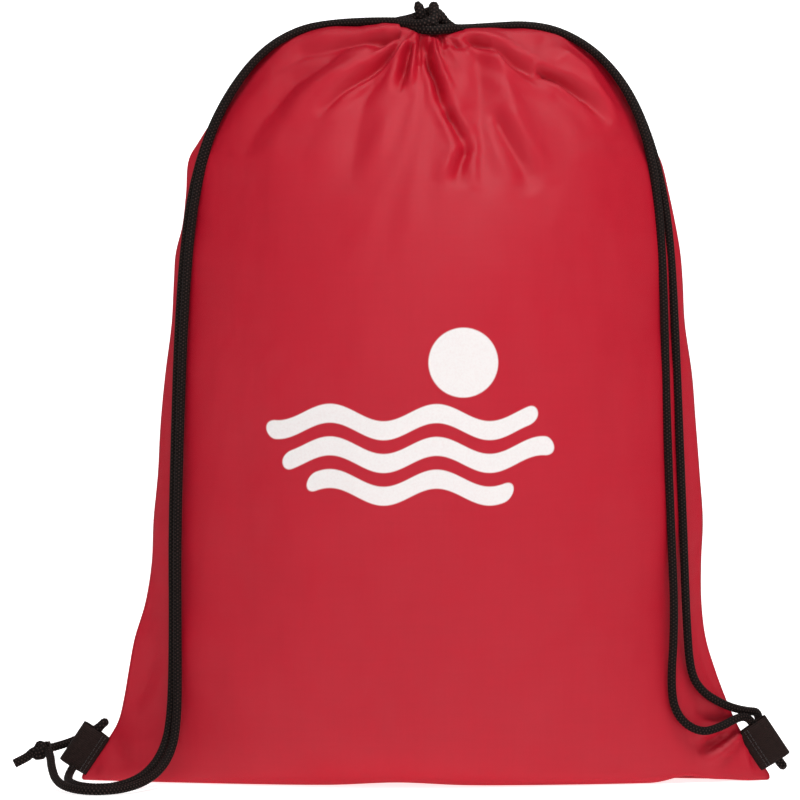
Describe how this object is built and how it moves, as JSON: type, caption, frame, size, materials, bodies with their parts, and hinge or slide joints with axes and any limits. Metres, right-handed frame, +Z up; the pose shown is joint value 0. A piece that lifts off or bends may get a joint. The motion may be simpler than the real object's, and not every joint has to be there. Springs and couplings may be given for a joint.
{
  "type": "drawstring backpack",
  "caption": "Thin fabric sack drawn shut at the top by two braided cords, which run down the front as shoulder straps to webbing tabs at the bottom corners.",
  "frame": {"origin": "Middle of the bottom edge that the packed bag stands on, measured without the free cords.", "axes": "+Z up to the drawn mouth, -Y the face that the shoulder cords lie on, +X to the right of that face."},
  "size_m": [0.3901, 0.1263, 0.3914],
  "materials": {
    "body_fabric": "satin",
    "seam_thread": "matte",
    "braided_cord": "matte",
    "webbing": "matte"
  },
  "bodies": {
    "bag": {"front_panel": "body_fabric", "back_panel": "body_fabric", "front_casing": "body_fabric", "back_casing": "body_fabric", "left_cord_in_casing": "braided_cord", "right_cord_in_casing": "braided_cord", "left_side_seam": "seam_thread", "right_side_seam": "seam_thread", "bottom_seam": "seam_thread", "neck_knot": "braided_cord", "left_end_knot": "braided_cord", "right_end_knot": "braided_cord", "left_inner_end": "braided_cord", "left_outer_end": "braided_cord", "right_inner_end": "braided_cord", "right_outer_end": "braided_cord"},
    "left_strap": {"left_inner_strap": "braided_cord", "left_outer_strap": "braided_cord"},
    "right_strap": {"right_inner_strap": "braided_cord", "right_outer_strap": "braided_cord"},
    "left_tab": {"left_corner_tab": "webbing"},
    "right_tab": {"right_corner_tab": "webbing"}
  },
  "joints": [
    {"name": "left_strap_lift", "type": "hinge", "parent": "bag", "child": "left_strap", "pos_m": [-0.03, -0.002, 0.3806], "axis": [-1, 0, 0], "range_deg": [0, 20]},
    {"name": "right_strap_lift", "type": "hinge", "parent": "bag", "child": "right_strap", "pos_m": [0.036, -0.002, 0.3806], "axis": [-1, 0, 0], "range_deg": [0, 20]},
    {"name": "left_tab_flex", "type": "hinge", "parent": "bag", "child": "left_tab", "pos_m": [-0.1654, 0, 0.0159], "axis": [-0.5547, 0, -0.8321], "range_deg": [-15, 15], "stiffness_Nm_per_rad": 0.004},
    {"name": "right_tab_flex", "type": "hinge", "parent": "bag", "child": "right_tab", "pos_m": [0.1654, 0, 0.0159], "axis": [0.5547, 0, -0.8321], "range_deg": [-15, 15], "stiffness_Nm_per_rad": 0.004}
  ]
}
